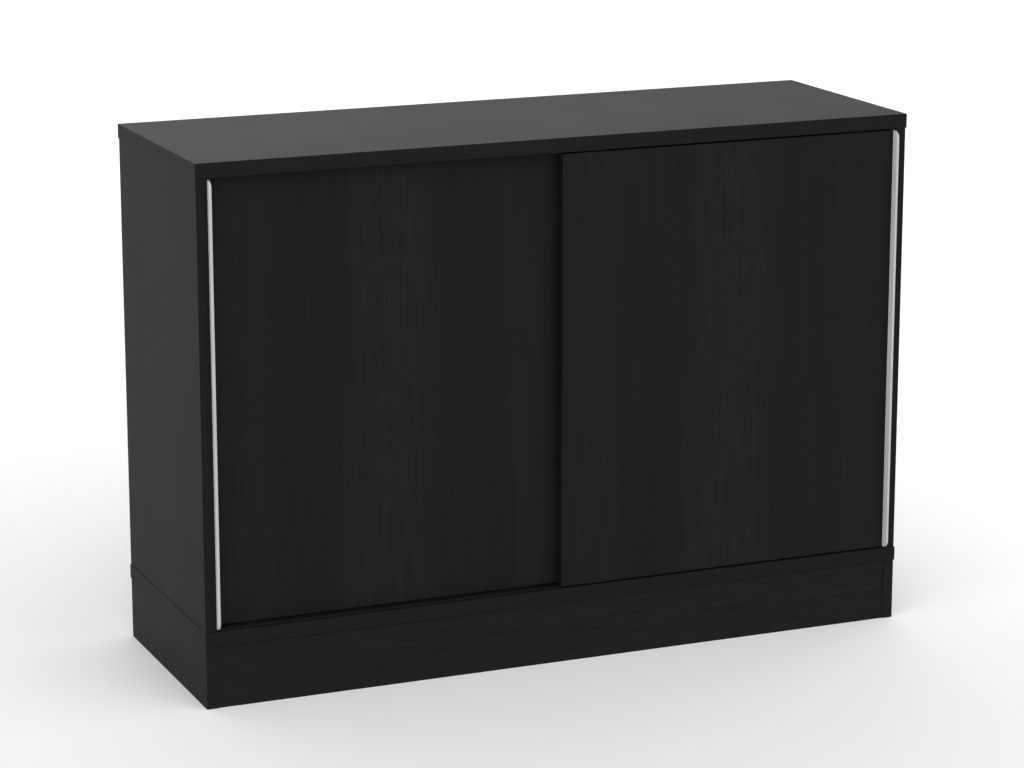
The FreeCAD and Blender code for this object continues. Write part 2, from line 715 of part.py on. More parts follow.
def handle(door):
    """A flat bar on edge, its front corners rounded, screwed to the outer edge of the leaf."""
    body = door.piece("handle")
    face = f"{door.hand} * {LEAF_WIDTH} / 2"
    sketch = new_sketch(body, "outline", "YZ_Plane", face)
    front, low, high = f"-(leaf_thick + {door.proud})", "0", LEAF_HEIGHT
    polygon(sketch, [(front, low), ("0", low), ("0", high), (front, high)])
    pad(body, sketch, "bar_thick", flip=door.hand < 0)
    front_edge = value(front)
    dress(body, "Fillet", "bar_corner", lambda edge: (
        along(edge, Vector(1, 0, 0)) and near(edge.CenterOfMass.y, front_edge)
    ))
    ahead_of_leaf = value("-leaf_thick - 1")
    dress(body, "Chamfer", "bar_arris", lambda edge: (
        not along(edge, Vector(1, 0, 0)) and edge.CenterOfMass.y < ahead_of_leaf
        and not along(edge, Vector(0, 1, 0))
    ))
    hole = wood_screw_hole(
        body, "screw", "YZ_Plane", f"{door.hand} * ({LEAF_WIDTH} / 2 + bar_thick)", "bar_thick + 1",
        "-leaf_thick / 2", LOWEST_SCREW, flip=door.hand > 0,
    )
    repeat(body, hole, row_of("Z_Axis", "2 * bar_screw_pitch", "3"))


LOWEST_SCREW = f"({LEAF_HEIGHT} / 2 - bar_screw_pitch)"


def handle_screws(door):
    body = door.piece("handle_screws")
    screw = wood_screw(
        body, "screw", "YZ_Plane", f"{door.hand} * ({LEAF_WIDTH} / 2 + bar_thick)",
        "handle_screw_length", "-leaf_thick / 2", LOWEST_SCREW, flip=door.hand > 0,
    )
    repeat(body, screw, row_of("Z_Axis", "2 * bar_screw_pitch", "3"))


def case_block(body, width, low, high, x, rounded):
    """The moulded block in its pocket, with a thin flange and an ear on each side on the leaf's back.

    The block's two corners at the level rounded follow the corners of the pocket."""
    block = new_sketch(body, "block", "XZ_Plane")
    middle, height = f"(({high}) + ({low})) / 2", f"({high}) - ({low})"
    rectangle(block, f"{width} - 2 * pocket_play", height, x, middle)
    pad(body, block, "pocket_deep - pocket_play")
    level = value(rounded)
    dress(body, "Fillet", "case_corner", lambda edge: (
        along(edge, Vector(0, 1, 0)) and near(edge.CenterOfMass.z, level)
    ))
    flange = new_sketch(body, "flange", "XZ_Plane")
    rectangle(flange, f"{width} + 2 * flange_ear", f"{height} - 6", x, middle)
    pad(body, flange, "flange_thick", flip=True)


def ear_holes(body, width, level, x):
    for name, side in (("left_ear", -1), ("right_ear", 1)):
        at = f"{x} + {side} * ({width} + flange_ear) / 2"
        wood_screw_hole(body, name, "XZ_Plane", "-flange_thick", "flange_thick + 1", at, level)


ROLLER_SCREWS = "(roller_case_height / 2 + 2)"
GUIDE_SCREWS = f"({LEAF_HEIGHT} - guide_case_height / 2)"


def roller_case(door, side_name, side):
    """Carries one roller on its axle; the roller's slot is open at the bottom."""
    body = door.piece(f"{side_name}_roller_case")
    x = f"{side} * {FITTING_X}"
    high = "roller_case_height - pocket_play"
    case_block(body, "roller_case_width", "0", high, x, high)
    room = "(roller_radius + 1)"
    slot = new_sketch(body, "slot", "XZ_Plane", f"-({FITTING_Y})")
    polygon(slot, [
        (f"{x} - {room}", "-1"), (f"{x} + {room}", "-1"),
        (f"{x} + {room}", f"{ROLLER_Z} + 6"), (f"{x} + 6", f"{ROLLER_Z} + {room}"),
        (f"{x} - 6", f"{ROLLER_Z} + {room}"), (f"{x} - {room}", f"{ROLLER_Z} + 6"),
    ])
    pocket(body, slot, "roller_width + 1", both=True)
    bore = new_sketch(body, "axle_hole", "XZ_Plane", "-flange_thick")
    circle(bore, "axle_radius", x, ROLLER_Z)
    pocket(body, bore, "axle_length + flange_thick", flip=True)
    ear_holes(body, "roller_case_width", ROLLER_SCREWS, x)


def axles(door):
    body = door.piece("roller_axles")
    sketch = new_sketch(body, "section", "XZ_Plane")
    for _, side in FITTINGS:
        circle(sketch, "axle_radius", f"{side} * {FITTING_X}", ROLLER_Z)
    pad(body, sketch, "axle_length")


def roller(door, side_name, side):
    """A nylon roller; it turns about its own Z axis."""
    body = new_body(f"{door.name}_{side_name}_roller")
    half, bore = "roller_width / 2", "axle_radius + axle_play"
    turned(body, "section", [
        (bore, f"-{half}"), ("roller_radius", f"-{half}"), ("roller_radius", half), (bore, half),
    ])
    x, y, z = door.at
    place(
        body, f"{x} + {side} * {FITTING_X}", f"{y} + {FITTING_Y}", f"{z} + {ROLLER_Z}",
        Rotation(Vector(1, 0, 0), 90),
    )


def guide_case(door, side_name, side):
    """Holds the sliding top guide, which is worked by a thumb piece through a window in the back."""
    body = door.piece(f"{side_name}_guide_case")
    x = f"{side} * {FITTING_X}"
    low = f"{LEAF_HEIGHT} - guide_case_height + pocket_play"
    case_block(body, "guide_case_width", low, LEAF_HEIGHT, x, low)
    floor_z = f"({GUIDE_TOP} - guide_height - guide_travel - 2)"
    slot = new_sketch(body, "slot", "XZ_Plane", f"-({FITTING_Y})")
    rectangle(
        slot, "guide_width + 2 * guide_play", f"{LEAF_HEIGHT} - {floor_z} + 2", x,
        f"({LEAF_HEIGHT} + {floor_z} + 2) / 2",
    )
    pocket(body, slot, "guide_thick + 2 * guide_play", both=True)
    window = new_sketch(body, "window", "XZ_Plane", "-flange_thick")
    rectangle(
        window, "thumb_width + 2", "thumb_height + guide_travel + 2", x,
        f"{THUMB_Z} - guide_travel / 2",
    )
    pocket(body, window, f"flange_thick - ({FITTING_Y}) - guide_thick / 2", flip=True)
    ear_holes(body, "guide_case_width", GUIDE_SCREWS, x)


THUMB_Z = f"({GUIDE_TOP} - guide_height + 10)"


def top_guide(door, side_name, side):
    """The sliding guide: a tongue in the upper track, drawn down by its thumb piece to free the door."""
    body = door.piece(f"{side_name}_top_guide")
    x = f"{side} * {FITTING_X}"
    tongue = new_sketch(body, "tongue", "XZ_Plane", f"-({FITTING_Y})")
    rectangle(tongue, "guide_width", "guide_height", x, f"{GUIDE_TOP} - guide_height / 2")
    pad(body, tongue, "guide_thick", both=True)
    top = value(GUIDE_TOP)
    dress(body, "Fillet", "4", lambda edge: (
        along(edge, Vector(0, 1, 0)) and abs(edge.CenterOfMass.z - top) < 0.01
    ))
    thumb = new_sketch(body, "thumb", "XZ_Plane", f"-({FITTING_Y})")
    rectangle(thumb, "thumb_width", "thumb_height", x, THUMB_Z)
    pad(body, thumb, f"flange_thick + thumb_proud - ({FITTING_Y})", flip=True)


def fitting_screws(door):
    """Eight countersunk screws through the ears of the four moulded cases."""
    body = door.piece("fitting_screws")
    for name, width, level in (
        ("roller", "roller_case_width", ROLLER_SCREWS), ("guide", "guide_case_width", GUIDE_SCREWS),
    ):
        screw = wood_screw(
            body, name, "XZ_Plane", "-flange_thick", "fitting_screw_length",
            f"{FITTING_X} - ({width} + flange_ear) / 2", level,
        )
        repeat(body, screw, row_of("X_Axis", f"{width} + flange_ear", "2"), mirror("YZ_Plane"))


# ---------------------------------------------------------------- the whole cabinet

def carcass():
    plinth()
    bottom_panel()
    top_panel()
    side_panel("left_side_panel", -1)
    side_panel("right_side_panel", 1)
    front_strips(
        "side_edge_bands", "board_thick", INNER_HEIGHT, FLOOR_LEVEL, FRONT_PLANE,
        (f"-{SIDE_MIDDLE}", SIDE_MIDDLE),
    )
    partition()
    front_strips(
        "partition_edge_band", "board_thick", INNER_HEIGHT, FLOOR_LEVEL, "interior_front", ("0",)
    )
    back_panel()
    shelf("left_shelf", -1)
    shelf("right_shelf", 1)
    bay_middle = f"(board_thick / 2 + {BAY_WIDTH} / 2)"
    front_strips(
        "shelf_edge_bands", SHELF_WIDTH, "board_thick", SHELF_LEVEL, SHELF_FRONT,
        (f"-{bay_middle}", bay_middle),
    )
    shelf_pins()
    tracks()
    door_stops()
    cam_locks()
    cam_bolts()
    dowels()
    carcass_screws()


def doors():
    for door in DOORS:
        leaf(door)
        leaf_band(door)
        handle(door)
        handle_screws(door)
        for side_name, side in FITTINGS:
            roller_case(door, side_name, side)
            roller(door, side_name, side)
            guide_case(door, side_name, side)
            top_guide(door, side_name, side)
        axles(door)
        fitting_screws(door)


def check_and_write():
    """Stop on any failed object or bad shape, then write one STEP file for each sub-part."""
    doc.recompute()
    for obj in doc.Objects:
        if {"Invalid", "Error"} & set(obj.State):
            raise RuntimeError(f"{obj.Name} failed: {obj.State}")
    for body in NODES:
        if body.Shape.isNull() or not body.Shape.isValid() or body.Shape.Volume <= 0:
            raise RuntimeError(f"{body.Label} has no valid shape")
    for body in NODES:
        body.Shape.exportStep(f"parts/{body.Label}.step")


os.makedirs("parts", exist_ok=True)
carcass()
doors()
check_and_write()
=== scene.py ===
"""Finishes, small hardware, floor, lights and camera for a black woodgrain cabinet with two sliding doors."""
import math

import bpy
import numpy as np
from mathutils import Matrix, Vector


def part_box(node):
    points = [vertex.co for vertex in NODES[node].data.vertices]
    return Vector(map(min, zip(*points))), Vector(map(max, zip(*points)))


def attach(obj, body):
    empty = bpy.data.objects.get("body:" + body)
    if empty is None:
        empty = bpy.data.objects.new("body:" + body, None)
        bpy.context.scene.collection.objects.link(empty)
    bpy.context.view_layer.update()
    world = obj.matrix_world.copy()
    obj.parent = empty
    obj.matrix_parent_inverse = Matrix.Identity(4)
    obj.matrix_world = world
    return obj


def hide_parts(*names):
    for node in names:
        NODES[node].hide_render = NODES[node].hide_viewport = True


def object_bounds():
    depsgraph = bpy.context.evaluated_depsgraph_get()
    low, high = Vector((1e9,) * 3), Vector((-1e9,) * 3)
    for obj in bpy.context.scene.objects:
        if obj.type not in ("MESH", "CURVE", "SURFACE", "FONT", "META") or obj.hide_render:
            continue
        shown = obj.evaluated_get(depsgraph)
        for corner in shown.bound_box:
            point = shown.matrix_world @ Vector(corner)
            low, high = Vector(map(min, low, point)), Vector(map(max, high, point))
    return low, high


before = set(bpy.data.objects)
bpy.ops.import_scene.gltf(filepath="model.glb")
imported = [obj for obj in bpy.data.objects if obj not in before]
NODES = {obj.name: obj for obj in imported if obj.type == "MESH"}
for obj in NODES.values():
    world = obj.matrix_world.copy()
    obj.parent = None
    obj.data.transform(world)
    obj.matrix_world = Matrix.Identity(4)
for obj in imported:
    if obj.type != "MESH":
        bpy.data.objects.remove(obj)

CAD_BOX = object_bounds()
MM = 0.001
DOORS = ("front_door", "rear_door")
SIDES = ("left", "right")
AXES = {"X": Vector((1, 0, 0)), "Y": Vector((0, 1, 0)), "Z": Vector((0, 0, 1))}


# ---------------------------------------------------------------- shader building

class Shader:
    """Adds nodes to a tree. An input may be given another node's socket or a plain value."""

    def __init__(self, tree):
        self.tree = tree

    def node(self, kind, inputs=None, **settings):
        made = self.tree.nodes.new(kind)
        for key, setting in settings.items():
            setattr(made, key, setting)
        for key, source in (inputs or {}).items():
            self.feed(made.inputs[key], source)
        return made

    def feed(self, socket, source):
        if isinstance(source, bpy.types.NodeSocket):
            self.tree.links.new(source, socket)
        else:
            socket.default_value = source

    def math(self, operation, *values, clamp=False):
        made = self.node("ShaderNodeMath", operation=operation, use_clamp=clamp)
        for socket, source in zip(made.inputs, values):
            self.feed(socket, source)
        return made.outputs[0]

    def vector(self, operation, a, b):
        made = self.node("ShaderNodeVectorMath", {0: a, 1: b}, operation=operation)
        return made.outputs[0]

    def split(self, vector):
        return self.node("ShaderNodeSeparateXYZ", {0: vector}).outputs

    def join(self, x, y, z):
        return self.node("ShaderNodeCombineXYZ", {0: x, 1: y, 2: z}).outputs[0]

    def noise(self, place, scale, detail=2.0, rough=0.5):
        """Noise from 0 to 1 at the given number of features to the metre."""
        inputs = {"Vector": place, "Scale": scale, "Detail": detail, "Roughness": rough}
        return self.node("ShaderNodeTexNoise", inputs).outputs["Fac"]

    def stretched_noise(self, place, features, detail=2.0, rough=0.5):
        """Noise with its own number of features to the metre along each of x, y and z."""
        return self.noise(self.vector("MULTIPLY", place, features), 1.0, detail, rough)

    def ramp(self, source, low, high):
        """A smooth step from 0 at low to 1 at high."""
        made = self.node(
            "ShaderNodeMapRange",
            {"Value": source, "From Min": low, "From Max": high},
            interpolation_type="SMOOTHSTEP",
        )
        return made.outputs["Result"]

    def mix(self, factor, a, b):
        made = self.node("ShaderNodeMix", data_type="RGBA")
        for index, source in ((0, factor), (6, a), (7, b)):
            self.feed(made.inputs[index], source)
        return made.outputs[2]

    def group(self, tree, inputs):
        made = self.node("ShaderNodeGroup")
        made.node_tree = tree
        for key, source in inputs.items():
            self.feed(made.inputs[key], source)
        return made.outputs


def new_group(name, inputs, outputs):
    """An empty node group with named sockets: its shader, what it is given and what it puts out."""
    kinds = {"value": "NodeSocketFloat", "vector": "NodeSocketVector"}
    tree = bpy.data.node_groups.new(name, "ShaderNodeTree")
    for label, kind in inputs:
        tree.interface.new_socket(label, in_out="INPUT", socket_type=kinds[kind])
    for label, kind in outputs:
        tree.interface.new_socket(label, in_out="OUTPUT", socket_type=kinds[kind])
    shader = Shader(tree)
    return shader, shader.node("NodeGroupInput").outputs, shader.node("NodeGroupOutput").inputs


def woodgrain_group():
    """Printed woodgrain. Place is in metres: x across the board, y through it, z along the grain.

    The figure lies in stripes where cos(2 pi x / spacing), with x bent by slow noise, is near 1, and fainter
    ones where it is near -1. In a stripe the tone is lifted and broken by streaks and by the arches that
    growth rings leave where the trunk's axis leaves the board at a slant: rings are waves of
    sqrt(x^2 + (depth + slant z)^2). Bands are broad noise, lines and fibres long fine noise, all stretched
    along z. Pores are short ticks where fine noise passes a threshold."""
    stripe_spacing, stripe_bend = 0.485, 0.08
    strong_stripe, faint_stripe, faint_share = (0.45, 0.86), (-0.72, -0.96), 0.55
    trunk_depth, trunk_slant = 0.14, 0.16
    ring_phase_to_the_metre, ring_raggedness = 700.0, 11.0
    streak_share, ring_share, stripe_lift = 1.15, 0.07, 0.15
    plain_tone, band_share, line_share, fibre_share, pore_share = 0.42, 0.14, 0.42, 0.42, -0.10
    pore_threshold = (0.60, 0.74)
    board_step = 3.1

    shader, given, out = new_group(
        "woodgrain",
        [("Place", "vector"), ("Figure", "value"), ("Seed", "value")],
        [("Tone", "value"), ("Pores", "value"), ("Height", "value")],
    )
    shift = shader.join(0.0, shader.math("MULTIPLY", given["Seed"], board_step), 0.0)
    place = shader.vector("ADD", given["Place"], shift)
    x, y, z = shader.split(given["Place"])
    slow = shader.stretched_noise(place, (6.0, 6.0, 2.2), 3.0)
    ragged = shader.stretched_noise(place, (90.0, 90.0, 16.0), 3.0, 0.7)
    streaks = shader.stretched_noise(place, (260.0, 260.0, 11.0), 3.0, 0.65)
    bands = shader.stretched_noise(place, (22.0, 22.0, 0.9), 3.0, 0.6)
    lines = shader.stretched_noise(place, (240.0, 240.0, 1.6), 2.0, 0.6)
    fibres = shader.stretched_noise(place, (420.0, 420.0, 5.0), 2.0, 0.6)
    ticks = shader.stretched_noise(place, (900.0, 900.0, 30.0), 1.0)
    pores = shader.ramp(ticks, *pore_threshold)

    bent = shader.math("MULTIPLY_ADD", shader.math("SUBTRACT", slow, 0.5), stripe_bend, x)
    wave = shader.math("COSINE", shader.math("MULTIPLY", bent, 2 * math.pi / stripe_spacing))
    faint = shader.ramp(wave, *faint_stripe)
    stripe = shader.math("MULTIPLY_ADD", faint, faint_share, shader.ramp(wave, *strong_stripe))
    depth = shader.math("MULTIPLY_ADD", z, trunk_slant, shader.math("ADD", y, trunk_depth))
    squares = [shader.math("POWER", part, 2.0) for part in (bent, depth)]
    radius = shader.math("SQRT", shader.math("ADD", *squares))
    ragged_phase = shader.math("MULTIPLY", ragged, ring_raggedness)
    phase = shader.math("MULTIPLY_ADD", radius, ring_phase_to_the_metre, ragged_phase)
    rings = shader.math("MULTIPLY_ADD", shader.math("SINE", phase), 0.5, 0.5)
    broken = shader.math(
        "MULTIPLY_ADD", shader.math("SUBTRACT", streaks, 0.5), streak_share,
        shader.math("MULTIPLY", rings, ring_share),
    )
    lifted = shader.math("MULTIPLY", shader.math("ADD", broken, stripe_lift), stripe)
    tone = shader.math("MULTIPLY_ADD", lifted, given["Figure"], plain_tone)
    for layer, share in ((bands, band_share), (lines, line_share), (fibres, fibre_share)):
        tone = shader.math("MULTIPLY_ADD", shader.math("SUBTRACT", layer, 0.5), share, tone)
    tone = shader.math("MULTIPLY_ADD", pores, pore_share, tone, clamp=True)
    shader.feed(out["Tone"], tone)
    shader.feed(out["Pores"], pores)
    shader.feed(out["Height"], shader.math("SUBTRACT", shader.math("MULTIPLY", fibres, 0.5), pores))
    return shader.tree


def board_group():
    """Where a point lies on a board. Place is centred on the board, Half is half its size.

    Depths under the three pairs of faces are Half - |Place|. The middle one of the three is the distance from
    the nearest arris, which gives Arris. Where even the smallest is more than the skin, Core is 1: that is
    the wall of a hole, groove or pocket, which shows the core of the board."""
    skin_inner, skin_outer = 0.3 * MM, 0.5 * MM
    shader, given, out = new_group(
        "board",
        [("Place", "vector"), ("Half", "vector"), ("Ease", "value")],
        [("Arris", "value"), ("Core", "value")],
    )
    offset = shader.node("ShaderNodeVectorMath", {0: given["Place"]}, operation="ABSOLUTE").outputs[0]
    a, b, c = shader.split(shader.vector("SUBTRACT", given["Half"], offset))
    low, high = shader.math("MINIMUM", a, b), shader.math("MAXIMUM", a, b)
    middle = shader.math("MAXIMUM", low, shader.math("MINIMUM", high, c))
    least = shader.math("MINIMUM", low, c)
    # Noise that makes the band along the arrises (light wear and painted edge highlight) uneven in width.
    arris_unevenness = shader.noise(given["Place"], 90.0)
    reach = shader.math("MULTIPLY", given["Ease"], shader.math("ADD", arris_unevenness, 0.5))
    shader.feed(out["Arris"], shader.math("SUBTRACT", 1.0, shader.math("DIVIDE", middle, reach), clamp=True))
    shader.feed(out["Core"], shader.ramp(least, skin_inner, skin_outer))
    return shader.tree


def chipboard_group():
    """Pressed chips: cells of random tone, with noise inside each."""
    chips_to_the_metre, flattening = 420.0, (1.0, 2.2, 1.0)
    dust_to_the_metre, dust_share = 1500.0, 0.3
    shader, given, out = new_group(
        "chipboard", [("Place", "vector")], [("Tone", "value"), ("Height", "value")]
    )
    flat = shader.vector("MULTIPLY", given["Place"], flattening)
    chips = shader.node("ShaderNodeTexVoronoi", {"Vector": flat, "Scale": chips_to_the_metre})
    chip_tone = shader.split(chips.outputs["Color"])[0]
    dust = shader.noise(given["Place"], dust_to_the_metre)
    dusty = shader.math("MULTIPLY", dust, dust_share)
    tone = shader.math("MULTIPLY_ADD", chip_tone, 1 - dust_share, dusty)
    shader.feed(out["Tone"], tone)
    shader.feed(out["Height"], shader.math("ADD", tone, dust))
    return shader.tree


def brushed_group():
    """Fine parallel scratches along the z of Place, in patches of differing strength."""
    scratches_along, patch_features = 9.0, (60.0, 60.0, 5.0)
    shader, given, out = new_group(
        "brushed", [("Place", "vector"), ("Fineness", "value")], [("Lines", "value"), ("Patches", "value")]
    )
    features = shader.join(given["Fineness"], given["Fineness"], scratches_along)
    shader.feed(out["Lines"], shader.stretched_noise(given["Place"], features, 3.0, 0.7))
    shader.feed(out["Patches"], shader.stretched_noise(given["Place"], patch_features))
    return shader.tree


def handling_group():
    """Faint smears and dull patches left by hands and cloths, at two sizes."""
    large_to_the_metre, small_to_the_metre, small_share = 7.0, 55.0, 0.35
    wiping_stretch, smear_range = (1.0, 1.0, 0.4), (0.35, 0.68)
    shader, given, out = new_group("handling", [("Place", "vector")], [("Smears", "value")])
    large = shader.noise(given["Place"], large_to_the_metre, 3.0, 0.6)
    small = shader.noise(shader.vector("MULTIPLY", given["Place"], wiping_stretch), small_to_the_metre)
    large_part = shader.math("MULTIPLY", large, 1 - small_share)
    smears = shader.math("MULTIPLY_ADD", small, small_share, large_part)
    shader.feed(out["Smears"], shader.ramp(smears, *smear_range))
    return shader.tree


def moulded_group():
    """The fine even pebbling of a spark-eroded mould, with slow flow marks in the tone."""
    flow_marks_to_the_metre, pebbles_to_the_metre = 120.0, 2600.0
    shader, given, out = new_group(
        "moulded", [("Place", "vector")], [("Tone", "value"), ("Height", "value")]
    )
    shader.feed(out["Tone"], shader.noise(given["Place"], flow_marks_to_the_metre, 3.0))
    shader.feed(out["Height"], shader.noise(given["Place"], pebbles_to_the_metre, 1.0))
    return shader.tree


WOODGRAIN = woodgrain_group()
BOARD = board_group()
CHIPBOARD = chipboard_group()
BRUSHED = brushed_group()
HANDLING = handling_group()
MOULDED = moulded_group()


# ---------------------------------------------------------------- finishes

def grey(level):
    """A neutral colour."""
    return (level, level, level, 1)


LAMINATE_DARK = grey(0.0050)
LAMINATE_LIGHT = grey(0.0126)
LAMINATE_LEVEL = 0.0215
LAMINATE_ROUGHNESS, EDGING_ROUGHNESS = 0.42, 0.43
# A lighter grey laid along the laminate's arrises: partly light wear, partly a painted edge highlight.
ARRIS_WEAR_AND_HIGHLIGHT = grey(0.026)
CHIP_DARK = (0.16, 0.10, 0.055, 1)
CHIP_LIGHT = (0.42, 0.30, 0.18, 1)
BOARD_SMEARS, METAL_SMEARS, PLASTIC_SMEARS = 0.02, 0.06, 0.10
SCRATCH_TONES = (0.3, 0.7)
SCRATCH_ROUGHNESS = 0.12
# Painted shade and painted light for the handle bar: a darker tone for its narrow edges, a lighter one for
# its broad faces.
BAR_EDGE_PAINTED_DARKER = (grey(0.31), grey(0.37))
BAR_FACE_PAINTED_LIGHTER = (grey(0.58), grey(0.68))
SPRUCE = ((0.34, 0.21, 0.11, 1), (0.62, 0.45, 0.27, 1))
BEECH = ((0.42, 0.25, 0.13, 1), (0.60, 0.40, 0.24, 1))


def new_material(name, centre=(0, 0, 0), turn=(0, 0, 0)):
    """A material, its shader, and the place of each point measured from centre in the turned frame."""
    material = bpy.data.materials.new(name)
    material.use_nodes = True
    material.node_tree.nodes.clear()
    shader = Shader(material.node_tree)
    source = shader.node("ShaderNodeTexCoord").outputs["Object"]
    mapping = shader.node(
        "ShaderNodeMapping", {"Vector": source, "Location": centre, "Rotation": turn}, vector_type="TEXTURE"
    )
    return material, shader, mapping.outputs[0]


def finish_surface(shader, inputs, height=None, depth=0.0):
    """The Principled shader with its inputs, and a bump of the given depth in metres."""
    surface = shader.node("ShaderNodeBsdfPrincipled", inputs)
    if height is not None:
        bump = shader.node("ShaderNodeBump", {"Height": height, "Strength": 1.0, "Distance": depth})
        shader.feed(surface.inputs["Normal"], bump.outputs[0])
    output = shader.node("ShaderNodeOutputMaterial")
    shader.feed(output.inputs["Surface"], surface.outputs[0])


def joint_box(names):
    """The middle and half size of the box round some nodes."""
    boxes = [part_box(name) for name in names]
    low = Vector(min(box[0][i] for box in boxes) for i in range(3))
    high = Vector(max(box[1][i] for box in boxes) for i in range(3))
    return (low + high) / 2, (high - low) / 2


def grain_turn(along, through):
    """The turn that lays x across a board, y through its thickness and z along its grain."""
    across = AXES[through].cross(AXES[along])
    return Matrix((across, AXES[through], AXES[along])).transposed()


def smeared(shader, place, rough, share):
    """A roughness with a share of the smears of handling added to it."""
    return shader.math("MULTIPLY_ADD", shader.group(HANDLING, {"Place": place})["Smears"], share, rough)


def laminate(name, nodes, along, through, figure, seed):
    """Black woodgrain laminate on a board, its grain along one axis and its thickness through another."""
    arris_band_width, arris_wear_and_highlight, relief = 0.5 * MM, 0.15, 0.035 * MM
    pore_roughness, core_roughness, chip_relief = 0.06, 0.45, 3.0
    centre, half = joint_box(nodes)
    turn = grain_turn(along, through)
    local_half = [abs(half.dot(axis)) for axis in turn.transposed()]
    material, shader, place = new_material(name, centre, turn.to_euler())
    grain = shader.group(WOODGRAIN, {"Place": place, "Figure": figure, "Seed": seed})
    board = shader.group(BOARD, {"Place": place, "Half": local_half, "Ease": arris_band_width})
    chips = shader.group(CHIPBOARD, {"Place": place})
    skin = shader.mix(grain["Tone"], LAMINATE_DARK, LAMINATE_LIGHT)
    # Lightens the skin along the arrises: partly light wear, partly a painted edge highlight.
    skin = shader.mix(shader.math("MULTIPLY", board["Arris"], arris_wear_and_highlight), skin, ARRIS_WEAR_AND_HIGHLIGHT)
    core = shader.mix(chips["Tone"], CHIP_DARK, CHIP_LIGHT)
    rough = shader.math("MULTIPLY_ADD", grain["Pores"], pore_roughness, LAMINATE_ROUGHNESS)
    rough = smeared(shader, place, rough, BOARD_SMEARS)
    rough = shader.math("MULTIPLY_ADD", board["Core"], core_roughness, rough, clamp=True)
    open_chips = shader.math("MULTIPLY", chips["Height"], board["Core"])
    finish_surface(
        shader,
        {
            "Base Color": shader.mix(board["Core"], skin, core),
            "Roughness": rough,
            "Specular IOR Level": LAMINATE_LEVEL,
        },
        shader.math("MULTIPLY_ADD", open_chips, chip_relief, grain["Height"]), relief,
    )
    return material


def edging(name, along, through):
    """Black edging strip: the laminate's tone with plain straight grain and a slightly duller face."""
    material, shader, place = new_material(name, turn=grain_turn(along, through).to_euler())
    grain = shader.group(WOODGRAIN, {"Place": place, "Figure": 0.0, "Seed": 5.0})
    finish_surface(
        shader,
        {
            "Base Color": shader.mix(grain["Tone"], LAMINATE_DARK, LAMINATE_LIGHT),
            "Roughness": smeared(shader, place, EDGING_ROUGHNESS, BOARD_SMEARS),
            "Specular IOR Level": LAMINATE_LEVEL,
        },
        grain["Height"], 0.025 * MM,
    )
    return material


def brushed_metal(name, dark, light, rough, fineness):
    """Metal with fine upright scratches and duller patches."""
    patch_share = 0.5
    material, shader, place = new_material(name)
    brushed = shader.group(BRUSHED, {"Place": place, "Fineness": fineness})
    lines = shader.math("MULTIPLY", brushed["Lines"], 1 - patch_share)
    tone = shader.math("MULTIPLY_ADD", brushed["Patches"], patch_share, lines)
    scratched = shader.math("MULTIPLY_ADD", brushed["Lines"], SCRATCH_ROUGHNESS, rough)
    finish_surface(
        shader,
        {
            "Base Color": shader.mix(shader.ramp(tone, *SCRATCH_TONES), dark, light),
            "Roughness": smeared(shader, place, scratched, METAL_SMEARS),
            "Metallic": 1.0,
        },
        brushed["Lines"], 0.010 * MM,
    )
    return material


def bar_aluminium(name, node):
    """Anodised flat bar standing on edge, its broad faces brushed. The broad faces are painted lighter and
    the narrow edges darker: painted light and shade for how the light falls on them.

    A point is on a broad face where its distance from the bar's middle plane is nearly half the thickness."""
    fineness, line_share, rough = 2600.0, 0.6, 0.42
    edge_starts, face_starts = 0.35 * MM, 0.05 * MM
    centre, half = joint_box([node])
    material, shader, place = new_material(name, centre)
    brushed = shader.group(BRUSHED, {"Place": place, "Fineness": fineness})
    depth = shader.math("ABSOLUTE", shader.split(place)[0])
    broad = shader.ramp(depth, half[0] - edge_starts, half[0] - face_starts)
    patches = shader.math("MULTIPLY", brushed["Patches"], 1 - line_share)
    tone = shader.math("MULTIPLY_ADD", brushed["Lines"], line_share, patches)
    tone = shader.ramp(tone, *SCRATCH_TONES)
    scratched = shader.math("MULTIPLY_ADD", brushed["Lines"], SCRATCH_ROUGHNESS, rough)
    finish_surface(
        shader,
        {
            # The broad faces get the painted lighter tone and the narrow edges the painted darker one.
            "Base Color": shader.mix(broad, shader.mix(tone, *BAR_EDGE_PAINTED_DARKER), shader.mix(tone, *BAR_FACE_PAINTED_LIGHTER)),
            "Roughness": smeared(shader, place, scratched, METAL_SMEARS),
            "Metallic": 0.25,
        },
        brushed["Lines"], 0.006 * MM,
    )
    return material


def plastic(name, dark, light, rough, level=0.35, depth=0.02 * MM):
    """Moulded plastic: slow flow marks in the tone, fine pebbling in the surface."""
    material, shader, place = new_material(name)
    moulded = shader.group(MOULDED, {"Place": place})
    finish_surface(
        shader,
        {
            "Base Color": shader.mix(moulded["Tone"], dark, light),
            "Roughness": smeared(shader, place, rough, PLASTIC_SMEARS),
            "Specular IOR Level": level,
        },
        moulded["Height"], depth,
    )
    return material


def bare_wood(name, dark, light):
    """Unfinished wood with upright grain, growth rings and open pores."""
    material, shader, place = new_material(name, turn=grain_turn("Z", "X").to_euler())
    grain = shader.group(WOODGRAIN, {"Place": place, "Figure": 1.2, "Seed": 2.0})
    finish_surface(
        shader,
        {
            "Base Color": shader.mix(grain["Tone"], dark, light),
            "Roughness": shader.math("MULTIPLY_ADD", grain["Pores"], 0.15, 0.62),
            "Specular IOR Level": 0.3,
        },
        grain["Height"], 0.12 * MM,
    )
    return material


def cover(names, material):
    """Give some nodes one material."""
    for name in names:
        mesh = NODES[name].data
        mesh.materials.clear()
        mesh.materials.append(material)


